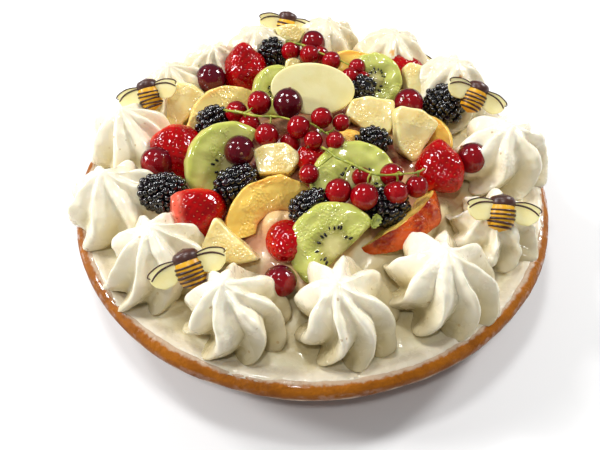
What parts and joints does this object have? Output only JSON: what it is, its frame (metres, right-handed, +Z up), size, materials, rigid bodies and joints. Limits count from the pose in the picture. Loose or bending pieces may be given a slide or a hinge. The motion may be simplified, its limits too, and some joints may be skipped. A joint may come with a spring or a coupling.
{
  "type": "fruit tart",
  "caption": "Round cream tart in a pastry shell with a piped cream border, a heap of glazed fruit, an oval plaque and small bee decorations.",
  "frame": {"origin": "centre of the flat underside of the pastry shell", "axes": "+Z up out of the tart, +Y towards the side away from the viewer, +X to the viewer's right"},
  "size_m": [0.28, 0.28, 0.0802],
  "materials": {
    "crust": "baked short pastry, golden brown, slightly glossy on the rim",
    "cream": "whipped cream, warm ivory, soft satin",
    "currant": "glazed translucent deep red skin",
    "plaque": "pale yellow chocolate, satin, left plain",
    "kiwi": "glazed green flesh, pale core, black seeds",
    "melon": "glazed pale yellow flesh with white fibres",
    "peach": "glazed golden flesh, red and brown skin",
    "strawberry": "glazed bright red skin with pale seeds",
    "bramble": "glazed near-black drupelets",
    "grape": "glazed dark plum skin",
    "bee": "golden sugar body with brown stripes and head, pale yellow wings",
    "leaf": "dull green calyx leaf"
  },
  "bodies": {
    "root": {"crust": "crust", "cream_layer": "cream", "piped_border": "cream", "currants_back": "currant", "currants_middle": "currant", "currants_front": "currant", "plaque": "plaque", "kiwi_slice_1": "kiwi", "kiwi_slice_2": "kiwi", "kiwi_slice_3": "kiwi", "kiwi_slice_4": "kiwi", "kiwi_slice_5": "kiwi", "melon_chunk_1": "melon", "melon_chunk_2": "melon", "melon_chunk_3": "melon", "melon_chunk_4": "melon", "melon_chunk_5": "melon", "melon_chunk_6": "melon", "melon_chunk_7": "melon", "melon_chunk_8": "melon", "peach_slice_1": "peach", "peach_slice_2": "peach", "peach_slice_3": "peach", "peach_slice_4": "peach", "peach_slice_5": "peach", "peach_slice_6": "peach", "strawberry_1": "strawberry", "strawberry_2": "strawberry", "strawberry_3": "strawberry", "strawberry_4": "strawberry", "strawberry_5": "strawberry", "strawberry_6": "strawberry", "strawberry_7": "strawberry", "bramble_1": "bramble", "bramble_2": "bramble", "bramble_3": "bramble", "bramble_4": "bramble", "bramble_5": "bramble", "bramble_6": "bramble", "bramble_7": "bramble", "bramble_8": "bramble", "bramble_9": "bramble", "grape_1": "grape", "grape_2": "grape", "grape_3": "grape", "grape_4": "grape", "grape_5": "grape", "grape_6": "grape", "grape_7": "grape", "grape_8": "grape", "bee_1": "bee", "bee_2": "bee", "bee_3": "bee", "bee_4": "bee", "bee_5": "bee", "bee_6": "bee", "leaf": "leaf"}
  },
  "joints": []
}
